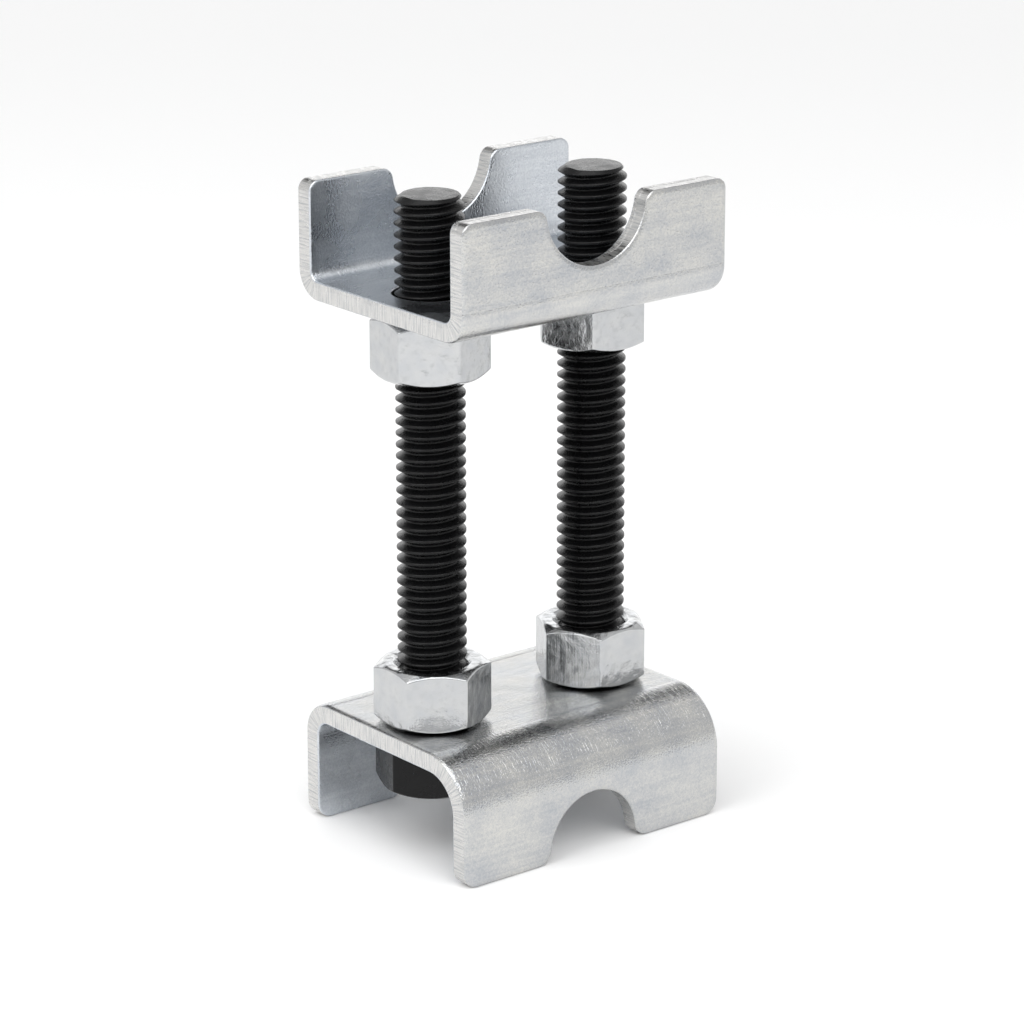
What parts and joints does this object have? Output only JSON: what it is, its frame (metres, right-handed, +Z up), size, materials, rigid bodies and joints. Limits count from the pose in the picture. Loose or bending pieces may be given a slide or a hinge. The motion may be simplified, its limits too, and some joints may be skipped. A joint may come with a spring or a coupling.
{
  "type": "coil spring spreader",
  "caption": "Screw-adjusted coil spring spreader: two folded steel channels with notched flanges, held apart by two black bolts with jam nuts and adjusting nuts.",
  "frame": {"origin": "on the floor under the feet of the lower channel, midway between the two bolts", "axes": "+Z up along the bolts, +X along the channels through both bolts, +Y across the channels"},
  "size_m": [0.0596, 0.0472, 0.1205],
  "materials": {
    "bracket_zinc": "bright zinc plate on folded steel",
    "nut_zinc": "bright zinc plate on forged hexagon",
    "bolt_black": "black oxide, lightly oiled"
  },
  "bodies": {
    "lower_bracket": {"lower_bracket": "bracket_zinc"},
    "bolt_front": {"bolt_front": "bolt_black"},
    "bolt_rear": {"bolt_rear": "bolt_black"},
    "jam_nut_front": {"jam_nut_front": "nut_zinc"},
    "jam_nut_rear": {"jam_nut_rear": "nut_zinc"},
    "upper_bracket": {"upper_bracket": "bracket_zinc"},
    "adjusting_nut_front": {"adjusting_nut_front": "nut_zinc"},
    "adjusting_nut_rear": {"adjusting_nut_rear": "nut_zinc"}
  },
  "joints": [
    {"name": "jam_nut_front_turn", "type": "hinge", "parent": "lower_bracket", "child": "jam_nut_front", "pos_m": [-0.01855, 0, 0.0289], "axis": [0, 0, 1], "range_deg": [0, 720]},
    {"name": "jam_nut_rear_turn", "type": "hinge", "parent": "lower_bracket", "child": "jam_nut_rear", "pos_m": [0.01855, 0, 0.0289], "axis": [0, 0, 1], "range_deg": [0, 720]},
    {"name": "bolt_front_drop", "type": "slide", "parent": "lower_bracket", "child": "bolt_front", "axis": [0, 0, 1], "range_m": [-0.00423, 0]},
    {"name": "bolt_rear_drop", "type": "slide", "parent": "lower_bracket", "child": "bolt_rear", "axis": [0, 0, 1], "range_m": [-0.00423, 0]},
    {"name": "upper_bracket_slide", "type": "slide", "parent": "bolt_front", "child": "upper_bracket", "axis": [0, 0, 1], "range_m": [-0.04868, 0.01693]},
    {"name": "adjusting_nut_front_turn", "type": "hinge", "parent": "upper_bracket", "child": "adjusting_nut_front", "pos_m": [-0.01855, 0, 0.0932], "axis": [0, 0, 1], "range_deg": [-8280, 2880]},
    {"name": "adjusting_nut_rear_turn", "type": "hinge", "parent": "upper_bracket", "child": "adjusting_nut_rear", "pos_m": [0.01855, 0, 0.0932], "axis": [0, 0, 1], "range_deg": [-8280, 2880]}
  ],
  "couplings": [
    {"joint": "adjusting_nut_front_turn", "follows": "upper_bracket_slide", "rad_per_m": 2968.4},
    {"joint": "adjusting_nut_rear_turn", "follows": "upper_bracket_slide", "rad_per_m": 2968.4},
    {"joint": "jam_nut_front_turn", "follows": "bolt_front_drop", "rad_per_m": -2968.4},
    {"joint": "jam_nut_rear_turn", "follows": "bolt_front_drop", "rad_per_m": -2968.4},
    {"joint": "bolt_rear_drop", "follows": "bolt_front_drop", "ratio": 1}
  ]
}
